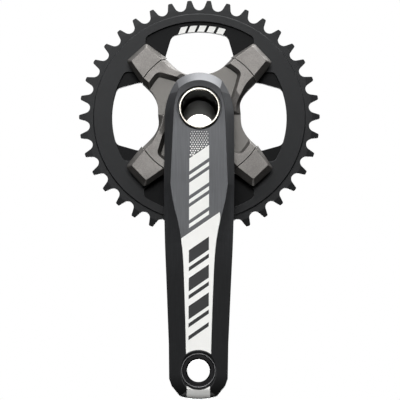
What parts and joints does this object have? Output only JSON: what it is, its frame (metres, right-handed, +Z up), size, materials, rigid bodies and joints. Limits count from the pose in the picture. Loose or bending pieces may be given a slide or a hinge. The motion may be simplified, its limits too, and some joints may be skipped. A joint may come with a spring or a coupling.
{
  "type": "bicycle crankset",
  "caption": "Right crank arm with a four-arm spider and single chainring on a hollow axle, with the external-bearing bottom bracket it turns in.",
  "frame": {"origin": "on the axle's axis, in the plane of the right (drive side) face of the frame's bottom bracket shell", "axes": "+Y along the axle towards the left side of the bicycle, so -Y points outboard; +Z up, with the crank arm hanging straight down along -Z; +X to the right when the crankset is looked at from its outboard side"},
  "size_m": [0.161, 0.1523, 0.2679],
  "materials": {
    "arm_aluminium": "dark grey satin anodised",
    "spider_aluminium": "warm grey bead-blasted anodised",
    "ring_aluminium": "dark slate anodised",
    "axle_steel": "turned and polished",
    "insert_steel": "turned",
    "bolt_steel": "black oxide",
    "bearing_steel": "ground",
    "cup_aluminium": "black anodised",
    "black_plastic": "moulded",
    "cage_brass": "pressed",
    "seal_rubber": "moulded"
  },
  "bodies": {
    "bottom_bracket": {"right_cup": "cup_aluminium", "left_cup": "cup_aluminium", "right_outer_race": "bearing_steel", "left_outer_race": "bearing_steel", "right_seal": "seal_rubber", "left_seal": "seal_rubber", "shell_tube": "black_plastic", "right_o_ring": "seal_rubber", "left_o_ring": "seal_rubber", "shell_spacer": "black_plastic"},
    "crank": {"crank_arm": "arm_aluminium", "spider": "spider_aluminium", "spider_cap_upper_right": "spider_aluminium", "spider_cap_upper_left": "spider_aluminium", "spider_cap_lower_left": "spider_aluminium", "spider_cap_lower_right": "spider_aluminium", "chainring": "ring_aluminium", "chainring_bolts": "bolt_steel", "axle": "axle_steel", "pedal_insert": "insert_steel", "right_dust_sleeve": "black_plastic", "left_dust_sleeve": "black_plastic", "right_inner_race": "bearing_steel", "left_inner_race": "bearing_steel"},
    "right_ball_set": {"right_balls": "bearing_steel", "right_cage": "cage_brass"},
    "left_ball_set": {"left_balls": "bearing_steel", "left_cage": "cage_brass"}
  },
  "joints": [
    {"name": "crank_spin", "type": "hinge", "parent": "bottom_bracket", "child": "crank", "pos_m": [0, 0, 0], "axis": [0, 1, 0], "continuous": true},
    {"name": "right_balls_orbit", "type": "hinge", "parent": "bottom_bracket", "child": "right_ball_set", "pos_m": [0, -0.0085, 0], "axis": [0, 1, 0], "continuous": true},
    {"name": "left_balls_orbit", "type": "hinge", "parent": "bottom_bracket", "child": "left_ball_set", "pos_m": [0, 0.079, 0], "axis": [0, 1, 0], "continuous": true}
  ],
  "couplings": [
    {"joint": "right_balls_orbit", "follows": "crank_spin", "ratio": 0.4484},
    {"joint": "left_balls_orbit", "follows": "crank_spin", "ratio": 0.4484}
  ]
}
